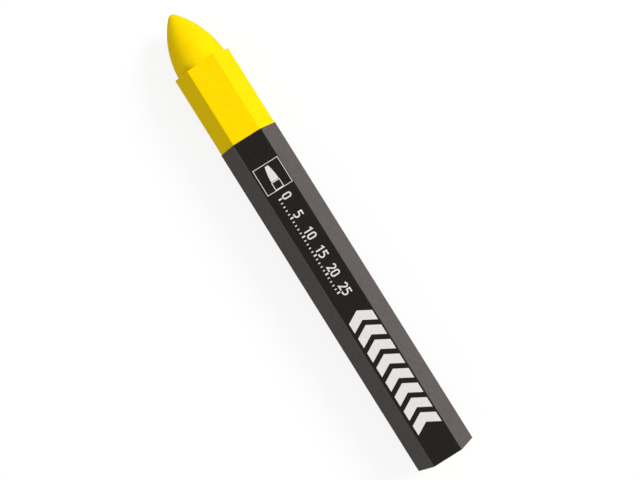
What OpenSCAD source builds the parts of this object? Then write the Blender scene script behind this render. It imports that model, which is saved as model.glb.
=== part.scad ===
// Wax marking crayon: a hexagonal stick of hard wax, cast in one piece with its round
// point, and a sheet of printed paper wrapped and glued round it as its label. The label
// leaves the point and a stretch of the stick bare, and ends level with the butt.
//
// The stick lies on one flat of its label. +X runs from the point to the butt and +Z is
// the flat that carries the print. The origin is under the middle of the length, on the
// surface that the stick lies on. Millimetres and degrees.

/* [Stick] */
// Whole length, from the nose of the point to the butt
stick_l = 120; // [90:1:160]
// Width of the wax across two opposite flats
wax_af = 12.6; // [11:0.1:16]
// Radius of the six long edges of the wax
wax_edge_r = 0.35; // [0.1:0.05:0.8]
// Chamfer round the butt end of the wax
butt_chamfer = 0.3; // [0.1:0.05:0.8]

/* [Point] */
// Length of the round point, from its nose to the shoulder
point_l = 13.5; // [9:0.1:18]
// Radius of the nose
nose_r = 1.25; // [0.5:0.05:2]
// Slope of the point's side where it reaches the shoulder
point_slope = 2.5; // [0:0.5:6]
// Width of the shoulder's ledge at the middle of a flat
shoulder_ledge = 0.05; // [0.05:0.05:0.6]
// Chamfer round the six sides of the shoulder
shoulder_chamfer = 0.25; // [0.1:0.05:0.6]

/* [Label] */
// Length of the stick left bare between the shoulder and the label
bare_l = 20.3; // [5:0.1:50]
// Thickness of the label's paper
paper_t = 0.1; // [0.08:0.01:0.2]
// Thickness of the glue between the wax and the paper
glue_t = 0.02; // [0.01:0.01:0.05]
// Width of the seam, where the end of the sheet laps over its start
lap_w = 4; // [2:0.1:5]
// Width of the slope where the sheet climbs over its start
lap_slope_w = 0.5; // [0.3:0.1:1]

/* [Hidden] */

wax_colour = [1.00, 0.87, 0.01];
label_colour = [0.30, 0.28, 0.28];

// The label's inside and outside, each one layer further from the same axis
label_inner_af = wax_af + 2 * glue_t;
label_af = label_inner_af + 2 * paper_t;
label_inner_edge_r = wax_edge_r + glue_t;
label_edge_r = label_inner_edge_r + paper_t;
label_start = point_l + bare_l;

// The seam is on the hidden side flat below +Y, two flats round from the print
lap_turn = 60;

// The point's side is one arc. It meets the shoulder at point_slope and runs smoothly
// into the nose, and both conditions together give its radius.
point_r = wax_af / 2 - shoulder_ledge;
nose_to_shoulder = point_l - nose_r;
side_r = (point_r ^ 2 + nose_to_shoulder ^ 2 - nose_r ^ 2)
    / (2 * (point_r * cos(point_slope) - nose_to_shoulder * sin(point_slope) - nose_r));
side_centre = [point_r - side_r * cos(point_slope), point_l + side_r * sin(point_slope)];
nose_centre = [0, nose_r];
// Direction in which the side's arc hands over to the nose
join_a = atan2(nose_centre.y - side_centre.y, nose_centre.x - side_centre.x);

// How far the point is rooted in the stick, so that the two are one casting
root_l = 1;
// Depth by which the lapped layer is sunk into the layer under it
lap_sink = paper_t / 2;
// How far a corner's disc stands proud of its flats, so that they cross and don't just touch
disc_proud = 0.0002;
nose_steps = 8;
side_steps = 28;
edge_fn = 48;
round_fn = 144;

// Points along an arc, from angle a to angle b. With first = 1 it leaves out the point at
// a, where the outline has one already.
function arc(centre, r, a, b, steps, first = 0) =
    [for (i = [first:steps])
        let (angle = a + (b - a) * i / steps)
        centre + r * [cos(angle), sin(angle)]];

// A hexagon with rounded corners. Its flats face 0, 60, 120 degrees and so on, and each
// corner is a disc that the two flats beside it run into.
module rounded_hexagon(af, edge_r) {
    corner = (af / 2 - edge_r) / cos(30);
    polygon([for (i = [0:5], side = [-30, 30])
        let (a = 60 * i + 30)
        corner * [cos(a), sin(a)] + edge_r * [cos(a + side), sin(a + side)]]);
    for (i = [0:5])
        rotate(60 * i + 30) translate([corner, 0]) rotate(180)
            circle(r = edge_r + disc_proud, $fn = edge_fn);
}

// Turns a piece made along +Z, from the nose at 0, into its place along +X.
// What faced +X is then the underside.
module laid_down() {
    translate([-stick_l / 2, 0, label_af / 2]) rotate([0, 90, 0]) children();
}

// What a chamfer takes off the six sides of a hexagonal stick's end, at height z.
// up is 1 at the upper end of the stick and -1 at its lower end.
module end_chamfer(af, chamfer, z, up) {
    for (i = [0:5])
        rotate(60 * i) translate([(af - chamfer) / 2, 0, z - up * chamfer / 2])
            rotate([0, -45 * up, 0]) translate([0, -af / 2, -chamfer])
                cube([2 * chamfer, af, 2 * chamfer]);
}

// The hexagonal part of the stick, from the shoulder to the butt
module prism() {
    difference() {
        translate([0, 0, point_l])
            linear_extrude(height = stick_l - point_l) rounded_hexagon(wax_af, wax_edge_r);
        end_chamfer(wax_af, shoulder_chamfer, point_l, -1);
        end_chamfer(wax_af, butt_chamfer, stick_l, 1);
    }
}

// The round point, as half of its outline turned about the axis
module point() {
    rotate_extrude($fn = round_fn)
        polygon(concat(
            arc(nose_centre, nose_r, -90, join_a, nose_steps),
            arc(side_centre, side_r, join_a, -point_slope, side_steps, first = 1),
            [[point_r, point_l + root_l], [0, point_l + root_l]]));
}

module wax_stick() {
    color(wax_colour) laid_down() union() {
        prism();
        point();
    }
}

// The extra layer at the seam, seen along the stick: square where the sheet ends,
// and a slope where it climbs over its own start. Both run on down into the layer below.
module lap_section() {
    inside = label_af / 2 - lap_sink;
    outside = label_af / 2 + paper_t;
    slope_foot = lap_slope_w * (paper_t + lap_sink) / paper_t;
    polygon([
        [inside, -lap_w / 2 - slope_foot], [outside, -lap_w / 2],
        [outside, lap_w / 2], [inside, lap_w / 2]]);
}

module label_wrap() {
    color(label_colour) laid_down() translate([0, 0, label_start])
        linear_extrude(height = stick_l - label_start) {
            difference() {
                rounded_hexagon(label_af, label_edge_r);
                rounded_hexagon(label_inner_af, label_inner_edge_r);
            }
            rotate(lap_turn) lap_section();
        }
}

wax_stick();
label_wrap();
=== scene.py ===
# %% [markdown]
# # A wax marking crayon
#
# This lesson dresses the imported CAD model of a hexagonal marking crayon. The real thing is one
# casting of hard yellow wax, a six-sided stick with a round point, inside one sheet of printed
# paper that is wrapped round it and glued. Both pieces are made here as surfaces worked out
# with numpy, because the things that make them look real are small and follow a rule: the soft
# shoulder of the casting, the way the paper bends over the six edges, and its lapped seam.
#
# The frame holds the sizes. Each piece takes its place from the boxes of the CAD pieces, so it
# stands where they stand without any fitting.

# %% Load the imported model
import math

import bpy
import numpy as np
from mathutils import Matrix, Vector


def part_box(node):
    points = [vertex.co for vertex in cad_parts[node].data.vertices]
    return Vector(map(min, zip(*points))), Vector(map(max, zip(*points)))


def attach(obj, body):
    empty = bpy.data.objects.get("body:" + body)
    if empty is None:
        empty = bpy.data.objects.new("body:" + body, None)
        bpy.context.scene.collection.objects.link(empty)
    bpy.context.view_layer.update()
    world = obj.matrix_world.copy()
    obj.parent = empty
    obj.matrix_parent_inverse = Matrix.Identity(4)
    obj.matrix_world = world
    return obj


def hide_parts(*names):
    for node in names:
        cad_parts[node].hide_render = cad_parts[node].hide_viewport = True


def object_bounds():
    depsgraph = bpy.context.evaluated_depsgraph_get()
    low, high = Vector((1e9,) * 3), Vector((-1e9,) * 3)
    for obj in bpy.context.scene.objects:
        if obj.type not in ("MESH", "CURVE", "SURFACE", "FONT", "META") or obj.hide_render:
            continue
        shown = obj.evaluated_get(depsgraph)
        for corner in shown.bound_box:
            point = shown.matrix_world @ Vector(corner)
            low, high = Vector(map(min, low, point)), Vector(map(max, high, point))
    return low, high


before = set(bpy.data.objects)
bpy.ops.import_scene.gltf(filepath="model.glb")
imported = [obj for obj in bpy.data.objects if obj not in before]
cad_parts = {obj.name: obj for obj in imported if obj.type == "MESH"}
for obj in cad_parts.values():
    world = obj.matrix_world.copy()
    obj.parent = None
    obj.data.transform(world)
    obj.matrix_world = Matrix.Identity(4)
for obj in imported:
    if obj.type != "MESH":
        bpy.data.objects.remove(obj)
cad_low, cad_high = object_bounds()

MM = 0.001
print("CAD nodes:", sorted(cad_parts))
print("crayon box, mm:", [round(v / MM, 2) for v in cad_high - cad_low])

# %% [markdown]
# ## The sizes
#
# The stick lies along X on one of its six flats. Its axis is half way up the label, the widths
# across flats are the heights of the two boxes, and the label starts where its box starts. The
# sizes that a box can't tell, such as the radius of an edge, are named where they are first
# needed. Three of them belong to both pieces: the wax's edge, the glue and the paper.

# %% Sizes of the stick and the label
wax_low, wax_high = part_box("wax_stick")
label_low, label_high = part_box("label_wrap")
AXIS_Z = (label_low.z + label_high.z) / 2
NOSE_X, BUTT_X = wax_low.x, wax_high.x
LABEL_X = label_low.x
WAX_AF = wax_high.z - wax_low.z
LABEL_AF = label_high.z - label_low.z

WAX_EDGE_R = 0.35 * MM
GLUE_T = 0.02 * MM
PAPER_T = 0.1 * MM
print(f"wax {WAX_AF / MM:.2f} mm across flats, label {LABEL_AF / MM:.2f} mm")

# %% [markdown]
# ## The camera
#
# The crayon is looked at from straight above its printed flat, with a long lens, so that the
# two flats beside it show narrow and even. A short lens from nearby would show less of them.
# The camera is turned about the line of sight, which puts the point at the upper left and the
# butt at the lower right. It comes before the rest, because it settles how large everything
# appears.

# %% Camera over the printed flat
CAMERA_LENS = 85
CAMERA_REACH = 350 * MM
CAMERA_NEAR, CAMERA_FAR = 10 * MM, 20
CAMERA_ROLL = math.radians(57.957)
AIM_RIGHT, AIM_UP = 2.745 * MM, -1.228 * MM

picture_right = Vector((math.cos(CAMERA_ROLL), math.sin(CAMERA_ROLL), 0))
picture_up = Vector((-math.sin(CAMERA_ROLL), math.cos(CAMERA_ROLL), 0))
camera = bpy.data.objects.new("camera", bpy.data.cameras.new("camera"))
camera.data.lens = CAMERA_LENS
camera.data.clip_start = CAMERA_NEAR
camera.data.clip_end = CAMERA_FAR
camera.location = picture_right * AIM_RIGHT + picture_up * AIM_UP
camera.location.z = AXIS_Z + CAMERA_REACH
camera.rotation_euler = (0, 0, CAMERA_ROLL)
bpy.context.scene.collection.objects.link(camera)
bpy.context.scene.camera = camera
print("camera at, mm:", [round(v / MM, 1) for v in camera.location])

# %% [markdown]
# ## The light
#
# A plain studio: an even pale sky, and one broad lamp from the +Y side. The sky alone gives
# the flat on the shaded side about half the light of the top, and the lamp makes the flat on
# its own side a little brighter than the top. Together they light a level surface so that a
# colour shows about as it is written. Area lamps could do the same, but a sky and a sun need
# no placing, and they light the crayon evenly along its whole length.
#
# The sky that is seen isn't the sky that lights. A Light Path node tells the rays apart, and
# what is seen directly, in gloss or through glass is plain white. The node helpers come here,
# where the first nodes are made, and every finish below uses them too.

# %% Node helpers
WHITE = (1, 1, 1, 1)


def set_inputs(tree, node, values):
    """Links each input that values names to the socket given for it, or sets it to the value."""
    for name, value in values.items():
        if isinstance(value, bpy.types.NodeSocket):
            tree.links.new(value, node.inputs[name])
        else:
            node.inputs[name].default_value = value


def add_node(tree, kind, values):
    """A new node with its inputs set: by name, or by number where the names repeat."""
    node = tree.nodes.new(kind)
    set_inputs(tree, node, values)
    return node


def maths(tree, operation, *values):
    """The result of one Math node, whose values are sockets or plain numbers."""
    node = add_node(tree, "ShaderNodeMath", dict(enumerate(values)))
    node.operation = operation
    return node.outputs[0]


def mix_shaders(tree, share, first, second):
    """The first shader node where share is 0 and the second where it is 1."""
    return add_node(tree, "ShaderNodeMixShader",
                    {0: share, 1: first.outputs[0], 2: second.outputs[0]})


def shown_rays(tree):
    """A node socket that is 1 for rays from the camera, from gloss and through glass, else 0."""
    rays = tree.nodes.new("ShaderNodeLightPath").outputs
    seen_or_gloss = maths(tree, "MAXIMUM", rays["Is Camera Ray"], rays["Is Glossy Ray"])
    return maths(tree, "MAXIMUM", seen_or_gloss, rays["Is Transmission Ray"])


# %% Sky
SKY = 0.6

world = bpy.data.worlds.new("studio")
world.use_nodes = True
bpy.context.scene.world = world
sky_tree = world.node_tree
sky_tree.nodes.clear()
sky_light = add_node(sky_tree, "ShaderNodeBackground", {"Color": WHITE, "Strength": SKY})
sky_shown = add_node(sky_tree, "ShaderNodeBackground", {"Color": WHITE, "Strength": 1})
sky = mix_shaders(sky_tree, shown_rays(sky_tree), sky_light, sky_shown)
add_node(sky_tree, "ShaderNodeOutputWorld", {"Surface": sky.outputs[0]})
print("the sky has", len(sky_tree.nodes), "nodes and lights with strength", SKY)

# %% Lamp
LAMP = 2.35
LAMP_WIDTH = math.radians(22)
TO_LAMP = Vector((-0.076, 0.779, 0.622))

lamp = bpy.data.objects.new("lamp", bpy.data.lights.new("lamp", "SUN"))
lamp.data.energy = LAMP
lamp.data.angle = LAMP_WIDTH
lamp.rotation_mode = "QUATERNION"
lamp.rotation_quaternion = TO_LAMP.to_track_quat("Z", "Y")
bpy.context.scene.collection.objects.link(lamp)
bpy.context.scene.view_settings.view_transform = "Standard"
level_light = SKY + LAMP / math.pi * TO_LAMP.normalized().z
print(f"a level white surface would show at {level_light:.2f} of plain white")

# %% [markdown]
# ## From a grid of points to a mesh
#
# Every piece here is a grid: rows of points, each row one ring or one edge, joined to the next
# row by quads. A row can close on itself, and the first and last row can close to a single
# point, or be capped. Rings could also be extruded one by one in an edit mesh, but an array
# holds a whole shape in one formula. A few small functions turn such an array into a mesh.

# %% Grid helpers


def steps(start, end, count):
    """A count of even steps on the way from start to end: start itself is left out."""
    return np.linspace(start, end, count + 1)[1:]


def grid_quads(rows, columns, wrap):
    """Quads between neighbouring rows and columns, as an array of point numbers.

    Point (r, c) is number r * columns + c. With wrap, the last column joins the first.
    """
    r = np.arange(rows - 1)[:, None]
    c = np.arange(columns if wrap else columns - 1)[None, :]
    here, right = r * columns + c, r * columns + (c + 1) % columns
    return np.stack([here, right, right + columns, here + columns], -1).reshape(-1, 4)


def fan(ring, pole):
    """Triangles that join each edge of a closed ring of point numbers to one pole."""
    return np.stack([ring, np.roll(ring, -1), np.full(len(ring), pole)], -1)


print("three rings of six points are joined by", len(grid_quads(3, 6, wrap=True)), "quads")

# %% Mesh helper
SMOOTH_ANGLE = math.radians(35)


def make_piece(name, points, faces):
    """A mesh object at the origin, smooth except at edges sharper than SMOOTH_ANGLE."""
    mesh = bpy.data.meshes.new(name)
    mesh.from_pydata(points.tolist(), [], faces)
    mesh.polygons.foreach_set("use_smooth", np.ones(len(mesh.polygons), bool))
    mesh.set_sharp_from_angle(angle=SMOOTH_ANGLE)
    mesh.update()
    piece = bpy.data.objects.new(name, mesh)
    bpy.context.scene.collection.objects.link(piece)
    print(f"{name}: {len(mesh.vertices)} points, {len(mesh.polygons)} faces")
    return piece


# %% [markdown]
# ## The six-sided section
#
# Wax and label share one section, a hexagon with rounded corners. It is needed in two ways. A
# path round it, counted as distance, suits the paper, which doesn't stretch. A reach in every
# direction from the axis suits the wax, whose round point and six-sided stick can then be
# blended direction by direction. A bevelled six-sided cylinder would give the same section,
# but neither of these two measures of it.

# %% Hexagon as a path
SIXTH = math.pi / 3


def hexagon_side(across_flats, edge_radius):
    """The length of one flat, and of one flat with one corner's arc."""
    flat = 2 * (across_flats / 2 - edge_radius) * math.tan(SIXTH / 2)
    return flat, flat + edge_radius * SIXTH


def hexagon_path(distance, across_flats, edge_radius):
    """Points and outward directions round a hexagon with rounded corners.

    Distance 0 is the middle of the top flat, and it grows towards +Y. Along a flat the point
    moves on a straight line. On a corner it turns through a sixth of a circle of edge_radius,
    about the point where lines that far inside the two flats cross. Returns two arrays of
    (y, z), measured from the axis.
    """
    flat, side = hexagon_side(across_flats, edge_radius)
    number = np.floor((distance + flat / 2) / side)
    along = distance + flat / 2 - number * side
    facing = number * SIXTH
    turned = facing + np.maximum(along - flat, 0) / edge_radius
    straight = np.minimum(along, flat) - flat / 2
    out = np.stack([np.sin(turned), np.cos(turned)], -1)
    flat_out = np.stack([np.sin(facing), np.cos(facing)], -1)
    flat_along = np.stack([np.cos(facing), -np.sin(facing)], -1)
    inside = across_flats / 2 - edge_radius
    return inside * flat_out + straight[..., None] * flat_along + edge_radius * out, out


def hexagon_distances(across_flats, edge_radius, on_flat, on_corner):
    """Distances round one whole turn: on_flat steps along each flat and on_corner on each arc."""
    flat, side = hexagon_side(across_flats, edge_radius)
    one = np.concatenate([
        np.linspace(-flat / 2, flat / 2, on_flat, endpoint=False),
        np.linspace(flat / 2, side - flat / 2, on_corner, endpoint=False)])
    return (np.arange(6)[:, None] * side + one[None, :]).ravel()


OUTER_EDGE_R = WAX_EDGE_R + GLUE_T + PAPER_T
flat_w, side_w = hexagon_side(LABEL_AF, OUTER_EDGE_R)
print(f"a label flat is {flat_w / MM:.2f} mm wide, round the label is {6 * side_w / MM:.2f} mm")

# %% Hexagon as a reach


def hexagon_reach(turn, across_flats, edge_radius):
    """How far a rounded hexagon reaches from its axis in each direction.

    Within a flat it is half the width across flats over the cosine of the angle from the
    flat's middle. Past the flat's end it is where the ray leaves the corner's circle.
    """
    away = np.abs((turn + SIXTH / 2) % SIXTH - SIXTH / 2)
    half = across_flats / 2
    inside = half - edge_radius
    centre = inside / math.cos(SIXTH / 2)
    off = SIXTH / 2 - away
    chord = edge_radius ** 2 - (centre * np.sin(off)) ** 2
    on_corner = centre * np.cos(off) + np.sqrt(np.maximum(chord, 0))
    on_flat = half / np.cos(away)
    return np.where(half * np.tan(away) <= inside * math.tan(SIXTH / 2), on_flat, on_corner)


corner_reach = hexagon_reach(SIXTH / 2, WAX_AF, WAX_EDGE_R)
print(f"the wax reaches {corner_reach / MM:.2f} mm from its axis at its edges")

# %% [markdown]
# ## The wax stick
#
# Marking wax is poured into a mould, so the stick, its shoulder and its point are one body
# with no sharp edge anywhere. A turned point could be joined to a six-sided prism, but the
# joint would have to be cut and bevelled. Here the stick is a stack of rings along X. Each
# ring has the same directions round the axis, and only its reach changes: round on the point,
# six-sided on the stick, and blended where they meet.
#
# The point comes first. Its side is one large arc, and its tip a small one.

# %% Outline of the point
POINT_L = 13.5 * MM
NOSE_R = 1.25 * MM
POINT_SLOPE = math.radians(2.5)
SHOULDER_LEDGE = 0.05 * MM
POINT_R = WAX_AF / 2 - SHOULDER_LEDGE

# The side's arc passes through the base at its slope, and its centre is SIDE_R - NOSE_R away
# from the nose's centre. Both arcs then meet in the direction JOIN, on the line of centres.
REST_L = POINT_L - NOSE_R
SIDE_R = (POINT_R ** 2 + REST_L ** 2 - NOSE_R ** 2) / (
    2 * (POINT_R * math.cos(POINT_SLOPE) - REST_L * math.sin(POINT_SLOPE) - NOSE_R))
SIDE_X = POINT_L + SIDE_R * math.sin(POINT_SLOPE)
SIDE_Y = POINT_R - SIDE_R * math.cos(POINT_SLOPE)
JOIN = math.atan2(NOSE_R - SIDE_X, -SIDE_Y)


def point_outline(nose_steps=14, side_steps=64):
    """Places along X and radii of the round point, from just off the pole to its base.

    The nose is an arc about a point on the axis. It runs smoothly into the side, one large
    arc whose centre lies across the axis, which still opens by POINT_SLOPE at the base.
    """
    nose = steps(-math.pi / 2, JOIN, nose_steps)
    side = steps(JOIN, -POINT_SLOPE, side_steps)
    x = np.concatenate([NOSE_R + NOSE_R * np.sin(nose), SIDE_X + SIDE_R * np.sin(side)])
    radius = np.concatenate([NOSE_R * np.cos(nose), SIDE_Y + SIDE_R * np.cos(side)])
    return NOSE_X + x, radius


POINT_X, POINT_REACH = point_outline()
print(f"the point's side is an arc of radius {SIDE_R / MM:.2f} mm")

# %% [markdown]
# ## The shoulder
#
# The point is round and the stick is six-sided, so there is a step where they meet: hardly any
# at the middle of a flat, and almost a millimetre at the edges. In the casting it is soft. Its
# foot is hollowed and its rim rounded by 0.12 mm, it sits back by up to 0.4 mm near the printed
# flat, and on the +Y side the point already rises towards it over its last 1.5 mm. A bevel
# would round the step alike all the way, so its height is worked out in every direction.

# %% Soft step
SHOULDER_X = NOSE_X + POINT_L
SHOULDER_SOFT = 0.12 * MM


def soft_step(x, height):
    """A step of the given height at x = 0, its foot hollowed and its rim rounded by one radius.

    The foot's arc leaves the lower level and the rim's arc runs into the upper one. A low step
    is just the two arcs, which meet half way up after turning through the angle whose cosine
    is 1 - h / 2r. A step higher than 2r has two quarter arcs and a straight rise between them.
    """
    turn = np.arccos(np.maximum(1 - height / (2 * SHOULDER_SOFT), 0))
    to_end = np.clip(SHOULDER_SOFT * np.sin(turn) - np.abs(x), 0, SHOULDER_SOFT)
    rise = SHOULDER_SOFT - np.sqrt(SHOULDER_SOFT ** 2 - to_end ** 2)
    return np.where(x < 0, rise, height - rise)


def step_height(turn):
    """How far the six-sided stick stands out from the base of the point in each direction."""
    return hexagon_reach(turn, WAX_AF, WAX_EDGE_R) - POINT_R


step_mm = [round(float(step_height(turn)) / MM, 2) for turn in (0, SIXTH / 2)]
print("the step at a flat and at an edge, mm:", step_mm)

# %% Uneven shoulder
LEAN_MOST, LEAN_W = 0.4 * MM, 1.2 * MM
LEAN_TURN = math.radians(-15)
RUN_OUT_L, RUN_OUT_SHARE = 1.5 * MM, 0.5
RUN_OUT_IN, RUN_OUT_FADE, RUN_OUT_FADE_W = np.radians((12, 45, 30))


def ease(t):
    """0 before 0, 1 after 1, and a smooth s-curve between: 3 t squared less 2 t cubed."""
    t = np.clip(t, 0, 1)
    return t * t * (3 - 2 * t)


def shoulder_lean(x, turn):
    """How far the shoulder at x = 0 sits back: most at LEAN_TURN, nothing a quarter turn off.

    The square of the cosine of the turn from there, fading to both sides of the shoulder as a
    bell curve whose width is LEAN_W.
    """
    facing = np.maximum(np.cos(turn - LEAN_TURN), 0) ** 2
    return LEAN_MOST * facing * np.exp(-(x / LEAN_W) ** 2)


def run_out(x, turn):
    """The share of the step that the point climbs on its own, before the shoulder at x = 0.

    It grows as the square of the way along the last RUN_OUT_L, up to RUN_OUT_SHARE, and only
    on the +Y side: it sets in from the middle of the printed flat to RUN_OUT_IN round from
    it, and fades from RUN_OUT_FADE on.
    """
    side = ease(turn / RUN_OUT_IN) * (1 - ease((turn - RUN_OUT_FADE) / RUN_OUT_FADE_W))
    return RUN_OUT_SHARE * side * np.clip(1 + x / RUN_OUT_L, 0, 1) ** 2


def shoulder_step(x, turn):
    """How far the surface stands out from the round point: what it climbs, and the soft step."""
    height = step_height(turn)
    return run_out(x, turn) * height + soft_step(x, (1 - run_out(0, turn)) * height)


print(f"the shoulder leans back {shoulder_lean(0, 0) / MM:.2f} mm in the middle of the print")

# %% [markdown]
# ## The shaded corner
#
# On the -Y side the corner at the foot of the step is darker than the lamp alone leaves it.
# Finer geometry wouldn't darken it, so the shade is painted: each point of the mesh keeps a
# share from 0 to 1 as an attribute, which the wax's material reads.

# %% Share of the painted shade in the crease
CREASE_W = 0.6 * MM
CREASE_STEP = 1.0 * MM


def crease_share(x, turn):
    """How much shade is painted in the corner before the shoulder at x = 0.

    It falls off exponentially over CREASE_W, grows with the step's height up to CREASE_STEP,
    and goes round from all of it to none as the sine of the turn goes from -1/3 to 1/3.
    """
    near = np.exp(np.minimum(x, 0) / CREASE_W) * (x < 0)
    shaded = np.clip(0.5 - 1.5 * np.sin(turn), 0, 1)
    return near * shaded * np.clip(step_height(turn) / CREASE_STEP, 0, 1)


print(f"the shade is {crease_share(-0.01 * MM, -SIXTH / 2):.2f} of full at the edge on that side")

# %% [markdown]
# ## Slow waves
#
# Cooling wax sinks very slightly, unevenly along the length and round the stick, which keeps
# its reflections from being ruler-straight. Bump could fake that, but waves in the surface
# itself also bend its outline a little. Under the label the wax keeps its true shape.

# %% Sinking of the cast surface
SINK_DEPTH = 0.012 * MM
SINK_IN, SINK_OUT = 2 * MM, 1 * MM
# for each wave: its strength, radians a millimetre along X, waves round the axis, its start
SINK_WAVES = ((1.0, 0.43, 2, 0.4), (0.7, 0.91, -2, 2.1), (0.5, 1.73, 3, 4.0), (0.3, 3.1, -5, 1.0))


def sink(x, turn):
    """How far the cast surface lies inside its true shape: slow waves along and round it.

    A sum of sines of unlike lengths, brought to 0 to 1 and squared. Each has a whole number of
    waves round the axis, so that it meets itself on the underside. It fades in over SINK_IN
    from the nose, and out over SINK_OUT before the label.
    """
    waves = sum(strength * np.sin(along * x / MM + around * turn + start)
                for strength, along, around, start in SINK_WAVES)
    most = sum(wave[0] for wave in SINK_WAVES)
    bare = np.clip((x - NOSE_X) / SINK_IN, 0, 1) * np.clip((LABEL_X - x) / SINK_OUT, 0, 1)
    return SINK_DEPTH * (0.5 + waves / (2 * most)) ** 2 * bare


print(f"half way along the bare wax it sinks {sink((NOSE_X + LABEL_X) / 2, 0) / MM:.4f} mm")

# %% [markdown]
# ## The butt
#
# The butt is the end that was open in the mould, trimmed to length. Its rim is rounded by
# 0.3 mm, and its face is dished by 0.35 mm, because the wax there cools last and shrinks. One
# flat face could close it, but rings drawn in towards the axis can follow the dish. Its faces
# are marked, so that they can take a finish of their own.

# %% Rim and face of the butt
BUTT_RIM = 0.3 * MM
BUTT_DISH = 0.35 * MM
BUTT_RINGS = 16


def rim_rounding(x):
    """How far the rim turns in towards the axis: a quarter circle over the last BUTT_RIM."""
    past_rim = np.clip(x - (BUTT_X - BUTT_RIM), 0, BUTT_RIM)
    return BUTT_RIM - np.sqrt(np.maximum(BUTT_RIM ** 2 - past_rim ** 2, 0))


def with_butt_face(x, reach):
    """The rings with those of the butt's face added: the last ring drawn in, and dished.

    A ring drawn in to a share s of the last one's reach lies (1 - s squared) squared of
    BUTT_DISH deep.
    """
    share = steps(1, 0, BUTT_RINGS)[:-1, None]
    dish = BUTT_DISH * (1 - share ** 2) ** 2
    face_x = np.repeat(BUTT_X - dish, reach.shape[1], 1)
    return np.concatenate([x, face_x]), np.concatenate([reach, share * reach[-1]])


def wax_faces(rings, columns):
    """Faces of the whole stick, closed by a fan at each end, and which of them are the butt's.

    The nose's pole is the first point after the rings and the butt's is the second.
    """
    quads = grid_quads(rings, columns, wrap=True)[:, ::-1]
    ring = np.arange(columns)
    nose = fan(ring, rings * columns)
    butt = fan((rings - 1) * columns + ring, rings * columns + 1)[:, ::-1]
    trimmed = np.concatenate([quads.min(1) >= (rings - BUTT_RINGS) * columns,
                              np.zeros(columns, bool), np.ones(columns, bool)])
    return quads.tolist() + nose.tolist() + butt.tolist(), trimmed


print(f"at its very end the rim has turned in by {rim_rounding(BUTT_X) / MM:.2f} mm")

# %% Places of the rings
FLAT_STEPS, CORNER_STEPS = 16, 8
SHOULDER_STEPS, BARE_STEPS, HIDDEN_STEPS, RIM_STEPS = 10, 69, 23, 6
SHOULDER_WALL, SHOULDER_CLEAR = 0.002 * MM, 0.012 * MM


def wax_turns():
    """Directions round the axis: those of points spread along the flats and the edges' arcs."""
    distances = hexagon_distances(WAX_AF, WAX_EDGE_R, FLAT_STEPS, CORNER_STEPS)
    around, _ = hexagon_path(distances, WAX_AF, WAX_EDGE_R)
    return np.arctan2(around[:, 0], around[:, 1])[None, :]


def wax_stations():
    """Where the rings stand along X: on the point, the shoulder, the stick and the butt's rim.

    Round the shoulder they crowd towards its steep part, which lies between the two rings that
    are SHOULDER_WALL before and past it. The point's own rings stop SHOULDER_CLEAR before them.
    """
    point = POINT_X[POINT_X < SHOULDER_X - SHOULDER_SOFT - SHOULDER_CLEAR]
    off = SHOULDER_SOFT * (1 - np.cos(steps(0, math.pi / 2, SHOULDER_STEPS)))
    off = np.concatenate([[SHOULDER_WALL], off])
    under_label = LABEL_X + MM
    bare = steps(SHOULDER_X + SHOULDER_SOFT, under_label, BARE_STEPS)
    hidden = steps(under_label, BUTT_X - BUTT_RIM, HIDDEN_STEPS)
    rim = BUTT_X - BUTT_RIM * (1 - np.sin(steps(0, math.pi / 2, RIM_STEPS)))
    return np.concatenate([point, SHOULDER_X - off[::-1], SHOULDER_X + off, bare, hidden, rim])


print(len(wax_stations()), "rings of", wax_turns().size, "points along the stick")

# %% The whole stick


def wax_surface():
    """Points of the stick, the painted shade of its crease at each, and how many rings and columns
    they form.

    The points are in order, ring by ring, and the two poles come last.
    The reach of a ring in each direction is the round point's radius, plus the soft step up to
    the hexagon, less the rounding of the butt's rim and the slow sinking of the cast surface.
    """
    turn = wax_turns()
    station = wax_stations()[:, None]
    past_shoulder = station - SHOULDER_X
    x = station + shoulder_lean(past_shoulder, turn)
    reach = np.interp(x, POINT_X, POINT_REACH) + shoulder_step(past_shoulder, turn)
    reach -= rim_rounding(x)
    reach -= sink(x, turn)
    x, reach = with_butt_face(x, reach)
    points = np.stack([x, reach * np.sin(turn), AXIS_Z + reach * np.cos(turn)], -1).reshape(-1, 3)
    poles = [[NOSE_X, 0, AXIS_Z], [BUTT_X - BUTT_DISH, 0, AXIS_Z]]
    # painted shade on the rings before the shoulder; the butt's rings and the poles get none
    ring_crease_shade = crease_share(past_shoulder, turn).ravel()
    crease_shade = np.concatenate([ring_crease_shade, np.zeros(len(points) + len(poles) - len(ring_crease_shade))])
    return np.concatenate([points, poles]), crease_shade, reach.shape


wax_points, wax_crease_shade, wax_grid = wax_surface()
wax_polygons, wax_trimmed = wax_faces(*wax_grid)
wax = make_piece("wax_stick_cast", wax_points, wax_polygons)
# The painted shade of the corner before the shoulder, one share for each point.
wax.data.attributes.new("crease_shade", "FLOAT", "POINT").data.foreach_set("value", wax_crease_shade)

# %% [markdown]
# ## The paper label
#
# The label is one sheet, a little longer than the way round the stick. One edge is glued to
# the wax low on the hidden side, the sheet goes once round the six flats, climbs over that
# edge and ends 4 mm further on. A copy of the stick's section, thickened, would be a sleeve
# with no seam. So the sheet is a path round the hexagon, which starts at the upper edge of the
# lap. It is lifted by one thickness where it lies on itself, and given its own thickness along
# the path's outward direction. A small step is left at the lapped edge, and bare paper shows
# on every cut edge.

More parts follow.
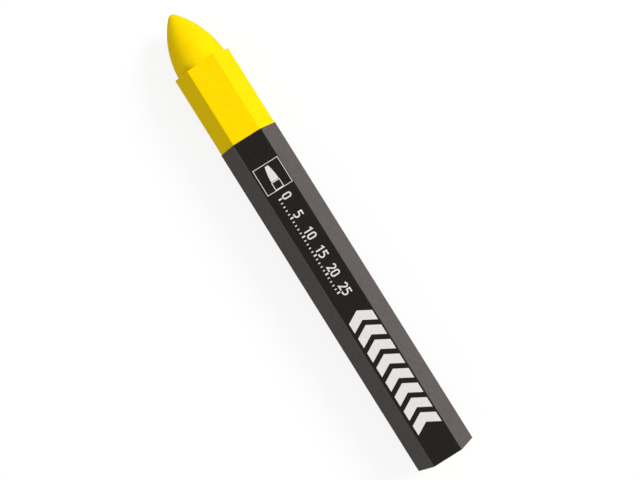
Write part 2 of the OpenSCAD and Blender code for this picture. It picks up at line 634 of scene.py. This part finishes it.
# %% Path of the sheet
INNER_EDGE_R = WAX_EDGE_R + GLUE_T
INNER_AF = LABEL_AF - 2 * PAPER_T
INNER_SIDE = hexagon_side(INNER_AF, INNER_EDGE_R)[1]
LAP_W, LAP_SLOPE_W = 4.0 * MM, 0.5 * MM
LAP_GLUE_T = 0.01 * MM
SHEET_START = 2 * INNER_SIDE - LAP_W / 2
SHEET_END = SHEET_START + 6 * INNER_SIDE + LAP_W
SHEET_FLAT_STEPS, SHEET_CORNER_STEPS, SLOPE_STEPS = 12, 8, 6
LEAST_STEP = 0.04 * MM


def sheet_distances():
    """Where the sheet is sampled along its path: its ends, its slope, and every corner finely.

    The samples are those of two turns round the hexagon, without the ones that lie outside the
    sheet or nearer than LEAST_STEP to an end or to a sample of the slope.
    """
    turn = hexagon_distances(INNER_AF, INNER_EDGE_R, SHEET_FLAT_STEPS, SHEET_CORNER_STEPS)
    every = np.concatenate([turn, turn + 6 * INNER_SIDE])
    slope = SHEET_START + LAP_W + np.linspace(0, LAP_SLOPE_W, SLOPE_STEPS + 1)
    fixed = np.concatenate([[SHEET_START, SHEET_END], slope])
    inside = every[(every > SHEET_START) & (every < SHEET_END)]
    apart = np.abs(inside[:, None] - fixed).min(1) > LEAST_STEP
    return np.sort(np.concatenate([inside[apart], fixed]))


print(f"the sheet is cut to {(BUTT_X - LABEL_X) / MM:.1f} x {(SHEET_END - SHEET_START) / MM:.1f} mm")

# %% Wrapped sheet
SHEET_RINGS = 47


def sheet_section():
    """The sheet's section as one closed line, and how many points its outer face has.

    It goes out along the outer face of the sheet and back along the inner face. The lap's
    stretch is lifted by the paper and its glue, and comes down along the slope as an s-curve.
    """
    along = sheet_distances()
    line, out = hexagon_path(along, INNER_AF, INNER_EDGE_R)
    past_lap = along - SHEET_START - LAP_W
    lift = (PAPER_T + LAP_GLUE_T) * (1 - ease(past_lap / LAP_SLOPE_W))
    inner = line + out * lift[:, None]
    outer = inner + out * PAPER_T
    return np.concatenate([outer, inner[::-1]]), len(along)


def sheet_surface():
    """Points and faces of the wrapped sheet, and which of its faces are cut edges.

    The section is carried along X, and the two ends are closed by strips of quads from its
    outer to its inner face.
    """
    section, n = sheet_section()
    columns = len(section)
    points = np.empty((SHEET_RINGS, columns, 3))
    points[..., 0] = np.linspace(LABEL_X, BUTT_X, SHEET_RINGS)[:, None]
    points[..., 1] = section[:, 0]
    points[..., 2] = AXIS_Z + section[:, 1]
    quads = grid_quads(SHEET_RINGS, columns, wrap=True)[:, ::-1]
    near = np.arange(n - 1)
    front = np.stack([near, near + 1, columns - 2 - near, columns - 1 - near], -1)
    back = front[:, ::-1] + (SHEET_RINGS - 1) * columns
    column = np.arange(len(quads)) % columns
    lap_edges = (column == n - 1) | (column == columns - 1)
    cut = np.concatenate([lap_edges, np.ones(len(front) + len(back), bool)])
    return points.reshape(-1, 3), np.concatenate([quads, front, back]), cut


label_points, label_faces, label_cut = sheet_surface()
label = make_piece("label_sheet", label_points, label_faces.tolist())

# %% [markdown]
# ## The print
#
# The top flat is printed solid black between its two edges, and on it, in white: a small
# picture of the point in a square, a millimetre scale with plain numbers, and a row of bold
# chevrons that point to the writing end. The white could be painted by the paper's material,
# but ink with an outline of its own stays crisp from however near it is seen. So it is a layer
# about a hundredth of a millimetre thick. Each mark is a small grid of points, made into a
# closed plate that is sunk a little into the paper.
#
# The marks are measured in millimetres, as a printer's drawing of the flat sheet has them:
# along the crayon from the label's front edge, and across it from the middle of the flat.

# %% Plates of ink
INK_RISE = 0.012 * MM
INK_SINK = 0.01 * MM
PRINT_Z = label_high.z


def plate(grid, loop=False):
    """Points and faces of a closed plate over a grid of (x, y) on the flat label.

    The grid is laid out twice, on top of the paper and just inside it. Its faces are the two
    layers and a wall along every free side. With loop, the last row joins the first. A turn
    from the way of the rows to the way of the columns is to the left, which puts the top up.
    """
    grid = np.asarray(grid, float) * MM + (LABEL_X, 0)
    rows, columns = grid.shape[:2]
    flat = grid.reshape(-1, 2)
    n = len(flat)
    top = np.column_stack([flat, np.full(n, PRINT_Z + INK_RISE)])
    low = np.column_stack([flat, np.full(n, PRINT_Z - INK_SINK)])
    index = np.arange(n).reshape(rows, columns)
    index = np.vstack([index, index[:1]]) if loop else index
    quads = np.stack([index[:-1, :-1], index[1:, :-1], index[1:, 1:], index[:-1, 1:]], -1)
    quads = quads.reshape(-1, 4)
    sides = [index[:, -1], index[::-1, 0]]
    if not loop:
        sides += [index[0, :], index[-1, ::-1]]
    walls = [np.stack([s[:-1], s[1:], s[1:] + n, s[:-1] + n], -1) for s in sides]
    return np.concatenate([top, low]), np.concatenate([quads, quads[:, ::-1] + n, *walls])


def ink_piece(name, plates):
    """One piece of white ink from several plates, with each plate's points numbered on."""
    starts = np.cumsum([0] + [len(points) for points, _ in plates])
    all_points = np.concatenate([points for points, _ in plates])
    all_faces = np.concatenate([faces + start for (_, faces), start in zip(plates, starts)])
    return make_piece(name, all_points, all_faces.tolist())


def bar(x0, x1, y0, y1):
    """An upright rectangle of ink."""
    return plate([[(x0, y0), (x0, y1)], [(x1, y0), (x1, y1)]])


print("the plainest plate, a bar, has", len(bar(0, 1, 0, 1)[1]), "faces")

# %% Chevrons
CHEVRON_X, CHEVRON_PITCH, CHEVRON_COUNT = 46.7, 3.9, 8
CHEVRON_LEAN, CHEVRON_STROKE = 1.75, 2.5
CHEVRON_Y, CHEVRON_HALF_H = 0.2, 3.1


def chevron(x):
    """A bold arrowhead of ink whose tip is at x and points to -X: two arms of even width."""
    edge = np.array([(x + CHEVRON_LEAN, CHEVRON_Y - CHEVRON_HALF_H),
                     (x, CHEVRON_Y),
                     (x + CHEVRON_LEAN, CHEVRON_Y + CHEVRON_HALF_H)])
    return plate([edge, edge + (CHEVRON_STROKE, 0)])


chevrons = ink_piece("print_chevrons", [
    chevron(CHEVRON_X + i * CHEVRON_PITCH) for i in range(CHEVRON_COUNT)])

# %% Millimetre scale
SCALE_X, SCALE_L, LONG_EVERY = 16.1, 25, 5
TICK_Y = -1.5
LONG_TICK, SHORT_TICK = (0.8, 0.36), (0.5, 0.25)


def tick(value):
    """One mark of the scale, longer and bolder at every fifth millimetre."""
    length, width = SHORT_TICK if value % LONG_EVERY else LONG_TICK
    x = SCALE_X + value
    return bar(x - width / 2, x + width / 2, TICK_Y, TICK_Y + length)


ticks = ink_piece("print_scale", [tick(value) for value in range(SCALE_L + 1)])

# %% [markdown]
# ## The numbers
#
# A scale's numbers are plain technical figures: one pen stroke of even width along lines and
# arcs. Blender's text objects could make them, but their own font has a 1 without its flag,
# which reads as a capital I. Four figures are enough for the whole scale, so each is a path
# worked out in a box of its own, and a stroke carries the pen's width along it.

# %% Pen strokes
FIGURE_W, FIGURE_H, PEN_W = 1.3, 2.3, 0.34


def arc(x, y, radius, start, end, count=12):
    """Points on a circle about (x, y), from one direction to another, in degrees."""
    turn = np.radians(np.linspace(start, end, count + 1))
    return np.stack([x + radius * np.cos(turn), y + radius * np.sin(turn)], -1)


def stroke(path, loop=False):
    """A grid for a pen stroke: each point of the path moved half the pen's width to both sides.

    With a and b as the unit ways into and out of a point, the move is a + b turned a quarter
    to the left, times PEN_W over the square of its length. That is half the pen's width on a
    straight line, and more at a corner, where the sides meet in a mitre.
    """
    step = np.roll(path, -1, 0) - path if loop else np.diff(path, axis=0)
    way = step / np.linalg.norm(step, axis=1)[:, None]
    way_in = np.roll(way, 1, 0) if loop else np.concatenate([way[:1], way])
    way_out = way if loop else np.concatenate([way, way[-1:]])
    both = way_in + way_out
    move = np.stack([-both[:, 1], both[:, 0]], -1) * PEN_W / (both ** 2).sum(1)[:, None]
    return np.stack([path - move, path + move], 1)


LEFT, LOW = PEN_W / 2, PEN_W / 2
RIGHT, TOP = FIGURE_W - PEN_W / 2, FIGURE_H - PEN_W / 2
MIDDLE, BEND_R = FIGURE_W / 2, (RIGHT - LEFT) / 2
print(f"the pen's middle runs from {LEFT:.2f} to {RIGHT:.2f} mm across a figure's box")

# %% The four figures


def figure_0():
    """A closed oval: half a circle above, half a circle below, and straight sides."""
    return stroke(np.concatenate([
        arc(MIDDLE, TOP - BEND_R, BEND_R, 0, 180),
        arc(MIDDLE, LOW + BEND_R, BEND_R, 180, 360)]), loop=True)


def figure_1(flag_w=0.62, flag_drop=0.36, flag_h=0.34, root_h=0.5):
    """A stem of the pen's width with a slanted flag, which grows out of the stem's top.

    The rows are the flag's end, the stem's top and the stem's foot. Each row goes from the
    right of the way along them, the flag's underside, to the left.
    """
    stem_l, stem_r = MIDDLE, MIDDLE + PEN_W
    flag_x = stem_r - flag_w - PEN_W / 2
    return np.array([
        [(flag_x, FIGURE_H - flag_drop - flag_h), (flag_x, FIGURE_H - flag_drop)],
        [(stem_l, FIGURE_H - root_h), (stem_r, FIGURE_H)],
        [(stem_l, 0), (stem_r, 0)]])


def figure_2(foot_x=0.24, start=168):
    """An arc over the top, a line that leaves it smoothly down to foot_x, and a bar.

    The line touches the circle where its direction from the centre is that of the foot plus
    the angle whose cosine is the radius over the distance to the foot.
    """
    centre_y = TOP - BEND_R
    across, down = foot_x - MIDDLE, LOW - centre_y
    touch = math.atan2(down, across) + math.acos(BEND_R / math.hypot(across, down))
    return stroke(np.concatenate([
        arc(MIDDLE, centre_y, BEND_R, start, math.degrees(touch)),
        [(foot_x, LOW), (FIGURE_W, LOW)]]))


def figure_5(bowl_top=1.38, stem_x=0.22):
    """A bar, a stem, and a bowl that starts level and turns through half a circle."""
    bowl_r = (bowl_top - LOW) / 2
    return stroke(np.concatenate([
        [(FIGURE_W - LEFT / 2, TOP), (stem_x, TOP), (stem_x, bowl_top)],
        arc(RIGHT - bowl_r, LOW + bowl_r, bowl_r, 90, -90), [(LEFT / 2, LOW)]]))


FIGURES = {"0": figure_0(), "1": figure_1(), "2": figure_2(), "5": figure_5()}
print("figures:", {name: len(grid) for name, grid in FIGURES.items()}, "points long")

# %% Numbers of the scale
NUMBER_Y, FIGURE_GAP = -0.5, 0.22


def number(value):
    """The figures of one number side by side, centred on its mark of the scale."""
    text = str(value)
    pitch = FIGURE_W + FIGURE_GAP
    start = SCALE_X + value - (len(text) * pitch - FIGURE_GAP) / 2
    return [plate(FIGURES[name] + (start + i * pitch, NUMBER_Y), loop=name == "0")
            for i, name in enumerate(text)]


numbers = ink_piece("print_numbers", [
    figure for value in range(0, SCALE_L + 1, LONG_EVERY) for figure in number(value)])

# %% [markdown]
# ## The picture of the point
#
# The small picture shows which end writes: a solid point on a short open stick, in a square.
# The two outlines are one kind of plate, a loop of four corners, and the point is another, a
# row of upright lines whose height follows a curve. An outline drawn by hand would need many
# more numbers.

# %% Picture of the point
BOX_X, BOX_Y, BOX_LINE = (7.35, 14.05), (-3.12, 3.55), 0.15
BOX_MIDDLE = sum(BOX_Y) / 2
PICTURE_NOSE_X, PICTURE_POINT_L = 8.0, 3.75
PICTURE_STICK_X, PICTURE_LINE = 11.85, 0.18
# half heights of the picture's nose, the base of its point, and its stick
NOSE_HALF, BASE_HALF, STICK_HALF = 0.42, 0.98, 1.1


def outline_plate(x, y, line):
    """A rectangle's outline: four corners in a loop, each with its outer and inner point."""
    corners = [(0, 0), (1, 0), (1, 1), (0, 1)]
    inward = [(1, 1), (-1, 1), (-1, -1), (1, -1)]
    return plate([[(x[i], y[j]), (x[i] + line * a, y[j] + line * b)]
                  for (i, j), (a, b) in zip(corners, inward)], loop=True)


def bullet_plate(x, y, length, nose, base, count=14):
    """A solid bullet shape: its half height grows from nose to base, fast at first.

    The growth is 1 less the 1.8th power of the share of the length that is still to go.
    """
    share = np.linspace(1, 0, count)
    half = nose + (base - nose) * (1 - (1 - share) ** 1.8)
    return plate([[(x + length * s, y + h), (x + length * s, y - h)] for s, h in zip(share, half)])


symbol = ink_piece("print_symbol", [
    outline_plate(BOX_X, BOX_Y, BOX_LINE),
    bullet_plate(PICTURE_NOSE_X, BOX_MIDDLE, PICTURE_POINT_L, NOSE_HALF, BASE_HALF),
    outline_plate((PICTURE_STICK_X, BOX_X[1] - BOX_LINE),
                  (BOX_MIDDLE - STICK_HALF, BOX_MIDDLE + STICK_HALF), PICTURE_LINE)])

# %% [markdown]
# ## Finishes
#
# The real finishes are even at arm's length and uneven close up: wax is cloudy, paper has
# fibres, and ink lies thick and thin. Pictures wrapped round the pieces could show that, but a
# noise worked out from a point's place needs no unwrapping and has no seam. All patterns read
# Object coordinates, which are metres in this frame, so a noise scale of 400 has details about
# 2.5 mm across. Nearly all of a noise lies between 0.3 and 0.7.

# %% Helpers for finishes
NOISE_LOW, NOISE_HIGH = 0.3, 0.7


def new_material(name):
    """A material with one Principled shader, its tree and its Object coordinates."""
    material = bpy.data.materials.new(name)
    material.use_nodes = True
    tree = material.node_tree
    shader = tree.nodes["Principled BSDF"]
    place = tree.nodes.new("ShaderNodeTexCoord").outputs["Object"]
    return material, tree, shader, place


def linear(red, green, blue):
    """A screen colour from 0 to 255 as the light values that a shader takes, fully opaque."""
    share = np.array([red, green, blue]) / 255
    light = np.where(share <= 0.04045, share / 12.92, ((share + 0.055) / 1.055) ** 2.4)
    return (*light.tolist(), 1)


def noise(tree, place, scale, detail=3, stretch=(1, 1, 1), roughness=0.5):
    """A cloudy pattern from 0 to 1, squeezed along each axis by stretch."""
    squeezed = add_node(tree, "ShaderNodeMapping", {"Vector": place, "Scale": stretch})
    cloudy = add_node(tree, "ShaderNodeTexNoise", {
        "Vector": squeezed.outputs[0], "Scale": scale, "Detail": detail, "Roughness": roughness})
    return cloudy.outputs["Fac"]


def remap(tree, value, low, high, to_low, to_high):
    """A value from low to high, as a value from to_low to to_high."""
    node = add_node(tree, "ShaderNodeMapRange", {
        "Value": value, "From Min": low, "From Max": high, "To Min": to_low, "To Max": to_high})
    return node.outputs["Result"]


def two_tones(tree, cloudy, first, second):
    """The first colour where a noise is low, the second where it is high, blended between."""
    node = add_node(tree, "ShaderNodeValToRGB", {"Fac": cloudy})
    stops = zip(node.color_ramp.elements, (NOISE_LOW, NOISE_HIGH), (first, second))
    for element, position, colour in stops:
        element.position = position
        element.color = colour
    return node.outputs["Color"]


def mix_colours(tree, share, first, second):
    """The first colour where share is 0 and the second where it is 1.

    A Mix node's colour sockets are its inputs 6 and 7 and its output 2.
    """
    node = tree.nodes.new("ShaderNodeMix")
    node.data_type = "RGBA"
    set_inputs(tree, node, {0: share, 6: first, 7: second})
    return node.outputs[2]


def bump(tree, height, depth, over=None):
    """A normal tilted by a height pattern that is depth metres deep, over another normal."""
    values = {"Height": height, "Distance": depth, "Strength": 1}
    if over is not None:
        values["Normal"] = over
    return add_node(tree, "ShaderNodeBump", values).outputs["Normal"]


print("a middle grey of the screen is", round(linear(128, 128, 128)[0], 3), "of white light")

# %% [markdown]
# ### Yellow wax
#
# Hard marking wax is satin and nearly opaque: a little light goes in and comes out close by,
# which softens its edges. It is faintly cloudy and has the fine grain of its mould, with faint
# lines along the stick. The butt has coarser lines, where it was trimmed. Both are one recipe
# with other lines, so one function makes the two.
# The corner before the shoulder on the -Y side gets painted shade, read from the mesh's crease
# attribute.

# %% Yellow wax
# The last colour is painted shade, for the corner before the shoulder on the -Y side.
WAX_CLEAR, WAX_DEEP, WAX_CREASE_SHADE = linear(255, 217, 0), linear(254, 213, 0), linear(180, 152, 0)
WAX_GRAIN_DEPTH = 0.03 * MM


def make_wax(name, line_scale, line_stretch, line_depth):
    """Marking wax: satin, faintly cloudy, with a fine cast grain, faint lines one way and painted
    shade where the crease attribute is set.

    The lines are a noise drawn out along the axis whose number in line_stretch is small.
    """
    material, tree, shader, place = new_material(name)
    body = two_tones(tree, noise(tree, place, 260, detail=4), WAX_DEEP, WAX_CLEAR)
    # painted shade: how much of the corner's shade each point takes
    crease_shade = tree.nodes.new("ShaderNodeAttribute")
    crease_shade.attribute_name = "crease_shade"
    gloss_noise = noise(tree, place, 900)
    lines = bump(tree, noise(tree, place, line_scale, stretch=line_stretch), line_depth)
    grain = bump(tree, noise(tree, place, 6000), WAX_GRAIN_DEPTH, over=lines)
    set_inputs(tree, shader, {
        "Base Color": mix_colours(tree, crease_shade.outputs["Fac"], body, WAX_CREASE_SHADE),
        "Roughness": remap(tree, gloss_noise, NOISE_LOW, NOISE_HIGH, 0.42, 0.56),
        "Specular IOR Level": 0.03,
        "Subsurface Weight": 0.12,
        "Subsurface Radius": (1.0, 0.6, 0.1),
        "Subsurface Scale": 0.4 * MM,
        "Normal": grain})
    return material


wax.data.materials.append(make_wax("yellow_wax", 2200, (0.06, 1, 1), 0.035 * MM))
wax.data.materials.append(make_wax("trimmed_wax", 2600, (1, 0.07, 1), 0.08 * MM))
wax.data.polygons.foreach_set("material_index", wax_trimmed.astype(np.int32))
print("faces of trimmed wax:", int(wax_trimmed.sum()))

# %% [markdown]
# ### Printed paper
#
# The label is uncoated paper, printed warm dark grey all over and black on the top flat. One
# noise, drawn out a little along the sheet, stands for its fibres: it gives the two prints
# their mottle, the gloss its change and the surface its relief, because ink lies unevenly on
# fibres. The black could be a material on faces of its own, but then it would end where the
# mesh has an edge. Here the material measures across the flat, and the black ends half way
# round each edge's bend. The cut edges of the sheet are bare paper, which is pale.

# %% Printed paper
PAPER_GREYS = linear(85, 80, 78), linear(100, 94, 92)
PAPER_BLACKS = linear(32, 31, 29), linear(40, 38, 36)
PANEL_Y, PANEL_HALF_W = 0.05 * MM, flat_w / 2 + OUTER_EDGE_R / 2
PANEL_BLUR = 0.02 * MM


def panel_share(tree, place):
    """A node socket that is 1 on the black panel of the top flat and 0 elsewhere.

    The distance across from the panel's middle is under half its width, on the upper side.
    """
    parts = add_node(tree, "ShaderNodeSeparateXYZ", {"Vector": place}).outputs
    across = maths(tree, "ABSOLUTE", maths(tree, "SUBTRACT", parts["Y"], PANEL_Y))
    inside = remap(tree, across, PANEL_HALF_W - PANEL_BLUR, PANEL_HALF_W + PANEL_BLUR, 1, 0)
    upper = remap(tree, parts["Z"], AXIS_Z, AXIS_Z + MM, 0, 1)
    return maths(tree, "MULTIPLY", inside, upper)


def make_paper():
    """Label paper: warm dark grey, with the top flat printed black between its edges."""
    material, tree, shader, place = new_material("printed_paper")
    fibre = noise(tree, place, 2200, detail=6, stretch=(0.4, 1, 1), roughness=0.6)
    fine = noise(tree, place, 9000, detail=2, stretch=(0.3, 1, 1))
    grey = two_tones(tree, fibre, *PAPER_GREYS)
    black = two_tones(tree, fibre, *PAPER_BLACKS)
    set_inputs(tree, shader, {
        "Base Color": mix_colours(tree, panel_share(tree, place), grey, black),
        "Roughness": remap(tree, fibre, NOISE_LOW, NOISE_HIGH, 0.6, 0.72),
        "Specular IOR Level": 0.01,
        "Normal": bump(tree, fine, 0.015 * MM, over=bump(tree, fibre, 0.025 * MM))})
    return material


def make_cut_paper():
    """The cut edge of the sheet: bare pale paper."""
    material, tree, shader, place = new_material("cut_paper")
    fibre = noise(tree, place, 6000)
    set_inputs(tree, shader, {
        "Base Color": two_tones(tree, fibre, linear(147, 143, 137), linear(183, 179, 172)),
        "Roughness": 0.85,
        "Specular IOR Level": 0.1})
    return material


label.data.materials.append(make_paper())
label.data.materials.append(make_cut_paper())
label.data.polygons.foreach_set("material_index", label_cut.astype(np.int32))
print(f"the black panel is {2 * PANEL_HALF_W / MM:.2f} mm wide")

# %% [markdown]
# ### White ink
#
# The white is printed over the black, so it isn't quite white, and it lies a little thinner
# here and there. One plain off-white would look like a sticker. A faint noise in its colour
# and its height is enough to make it ink.

# %% White ink
INK_THIN, INK_FULL = linear(215, 214, 213), linear(226, 225, 224)


def make_ink():
    """Printing ink: an off-white that is a little thinner here and there."""
    material, tree, shader, place = new_material("white_ink")
    cover = noise(tree, place, 1800, detail=4)
    set_inputs(tree, shader, {
        "Base Color": two_tones(tree, cover, INK_THIN, INK_FULL),
        "Roughness": 0.55,
        "Specular IOR Level": 0.15,
        "Normal": bump(tree, cover, 0.003 * MM)})
    return material


ink = make_ink()
prints = (chevrons, ticks, numbers, symbol)
for piece in prints:
    piece.data.materials.append(ink)
print("pieces of white ink:", len(prints))

# %% [markdown]
# ## The floor
#
# The crayon lies on a plain white sheet that fills the view. A white surface lit by this studio
# would come out pale grey under the crayon and throw a lot of light up its sides. So the floor
# has two faces. What lights the crayon from below is a matt grey, and what is seen is mostly
# plain white and for the rest lit white, so that it stays white and keeps a soft shadow.

# %% Floor
FLOOR_HALF = 3.0
FLOOR_GREY = 0.32
FLOOR_PLAIN = 0.86


def make_floor():
    """Matt grey for the light that it gives back, and nearly plain white where it is seen."""
    material = bpy.data.materials.new("white_floor")
    material.use_nodes = True
    tree = material.node_tree
    tree.nodes.clear()
    grey = add_node(tree, "ShaderNodeBsdfDiffuse", {
        "Color": (FLOOR_GREY, FLOOR_GREY, FLOOR_GREY, 1)})
    lit_white = add_node(tree, "ShaderNodeBsdfDiffuse", {"Color": WHITE})
    plain_white = add_node(tree, "ShaderNodeEmission", {"Color": WHITE})
    seen = mix_shaders(tree, FLOOR_PLAIN, lit_white, plain_white)
    both = mix_shaders(tree, shown_rays(tree), grey, seen)
    add_node(tree, "ShaderNodeOutputMaterial", {"Surface": both.outputs[0]})
    return material


corners = np.array([[-1, -1], [1, -1], [1, 1], [-1, 1]]) * FLOOR_HALF
floor = make_piece("floor", np.column_stack([corners, np.full(4, cad_low.z)]), [[0, 1, 2, 3]])
floor.data.materials.append(make_floor())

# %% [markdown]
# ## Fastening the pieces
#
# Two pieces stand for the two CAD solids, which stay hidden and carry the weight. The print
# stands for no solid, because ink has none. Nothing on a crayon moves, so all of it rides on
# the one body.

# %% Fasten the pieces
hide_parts("wax_stick")
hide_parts("label_wrap")
marks = [(piece, "print_white") for piece in prints]
for piece, slot in [(wax, "wax"), (label, "label_paper"), *marks]:
    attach(piece, "root")
